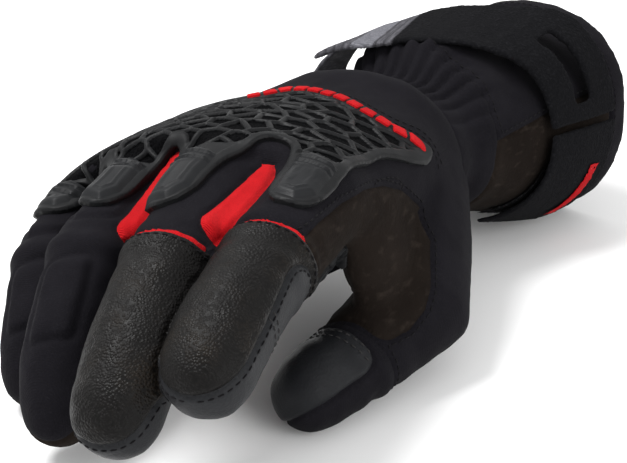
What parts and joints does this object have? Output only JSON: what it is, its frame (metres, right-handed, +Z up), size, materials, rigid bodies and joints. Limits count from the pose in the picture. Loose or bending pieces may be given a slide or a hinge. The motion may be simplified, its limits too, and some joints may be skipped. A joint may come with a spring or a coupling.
{
  "type": "ski glove",
  "caption": "Insulated right-hand snow glove with moulded knuckle guard, leather fingertips, suede palm, gathered wrist and peel-open cuff strap.",
  "frame": {"origin": "middle of the bounding box in plan, on the surface that the glove stands on", "axes": "+Z up, +Y along the glove from fingertips to cuff, +X towards the thumb"},
  "size_m": [0.1615, 0.305, 0.0947],
  "materials": {
    "softshell": "matt woven stretch softshell",
    "suede": "napped suede",
    "goat_leather": "pebbled, semi-matt",
    "grip_leather": "smooth, semi-matt",
    "red_stretch": "fine stretch weave",
    "guard_rubber": "moulded, satin",
    "slider_rubber": "moulded, satin",
    "guard_mesh_backing": "matt mesh",
    "fleece_lining": "brushed fleece",
    "grey_elastic": "heathered elastic weave",
    "woven_label": "woven, light",
    "strap_fabric": "brushed loop fabric",
    "hook_tape": "hook and loop"
  },
  "bodies": {
    "hand": {"back_panel": "softshell", "guard_backing": "guard_mesh_backing", "guard_red_strip": "red_stretch", "hand_liner": "fleece_lining", "index_knuckle_sleeve": "softshell", "index_liner": "fleece_lining", "index_sleeve_back": "softshell", "index_sleeve_palm": "suede", "index_slider": "slider_rubber", "knuckle_guard": "guard_rubber", "little_knuckle_sleeve": "softshell", "little_liner": "fleece_lining", "little_sleeve": "softshell", "little_slider": "slider_rubber", "middle_knuckle_sleeve": "softshell", "middle_liner": "fleece_lining", "middle_sleeve_back": "softshell", "middle_sleeve_palm": "suede", "middle_slider": "slider_rubber", "palm_panel": "suede", "red_gusset_index_middle": "red_stretch", "red_gusset_middle_ring": "red_stretch", "ring_knuckle_sleeve": "softshell", "ring_liner": "fleece_lining", "ring_sleeve": "softshell", "ring_slider": "slider_rubber", "thumb_knuckle_sleeve": "softshell", "thumb_liner": "fleece_lining", "thumb_sleeve_back": "softshell", "thumb_sleeve_suede": "suede", "thumb_web": "suede", "wrist_gather": "softshell"},
    "cuff": {"cuff_hem": "softshell", "cuff_liner": "fleece_lining", "cuff_shell": "softshell", "cuff_suede_patch": "suede", "loop_patch": "hook_tape", "strap_band": "strap_fabric", "strap_elastic": "grey_elastic", "strap_label": "woven_label"},
    "strap_end": {"hook_patch": "hook_tape", "strap_end": "strap_fabric", "strap_mark": "red_stretch"},
    "index_tip": {"index_cap": "goat_leather", "index_red_trim": "red_stretch", "index_tip_liner": "fleece_lining", "index_tip_pad": "grip_leather"},
    "middle_tip": {"middle_cap": "goat_leather", "middle_red_trim": "red_stretch", "middle_tip_liner": "fleece_lining", "middle_tip_pad": "grip_leather"},
    "ring_tip": {"ring_tip_back": "softshell", "ring_tip_liner": "fleece_lining", "ring_tip_palm": "suede"},
    "little_tip": {"little_tip_back": "softshell", "little_tip_liner": "fleece_lining", "little_tip_palm": "suede"},
    "thumb_tip": {"thumb_tip_back": "softshell", "thumb_tip_liner": "fleece_lining", "thumb_tip_pad": "grip_leather"}
  },
  "joints": [
    {"name": "index_bend", "type": "hinge", "parent": "hand", "child": "index_tip", "pos_m": [0.0216, -0.0942, 0.063], "axis": [0.9942, -0.018, 0.1059], "range_deg": [-10, 35], "deforming": ["index_knuckle_sleeve"]},
    {"name": "middle_bend", "type": "hinge", "parent": "hand", "child": "middle_tip", "pos_m": [-0.0069, -0.1002, 0.059], "axis": [0.9924, 0.0294, 0.1191], "range_deg": [-15, 40], "deforming": ["middle_knuckle_sleeve"]},
    {"name": "ring_bend", "type": "hinge", "parent": "hand", "child": "ring_tip", "pos_m": [-0.0374, -0.0922, 0.052], "axis": [0.994, 0.0003, 0.1092], "range_deg": [-25, 15], "deforming": ["ring_knuckle_sleeve"]},
    {"name": "little_bend", "type": "hinge", "parent": "hand", "child": "little_tip", "pos_m": [-0.0609, -0.0772, 0.04], "axis": [0.9838, 0.089, 0.1557], "range_deg": [-15, 25], "deforming": ["little_knuckle_sleeve"]},
    {"name": "thumb_bend", "type": "hinge", "parent": "hand", "child": "thumb_tip", "pos_m": [0.0336, -0.0562, 0.015], "axis": [-0.7361, 0.3265, -0.5929], "range_deg": [-15, 25], "deforming": ["thumb_knuckle_sleeve"]},
    {"name": "wrist_bend", "type": "hinge", "parent": "hand", "child": "cuff", "pos_m": [0.0116, 0.0498, 0.049], "axis": [0.9518, -0.3067, 0], "range_deg": [-15, 15], "deforming": ["wrist_gather"]},
    {"name": "strap_peel", "type": "hinge", "parent": "cuff", "child": "strap_end", "pos_m": [0.07156, 0.09362, 0.05037], "axis": [-0.3828, -0.9219, 0.0599], "range_deg": [0, 80]}
  ]
}
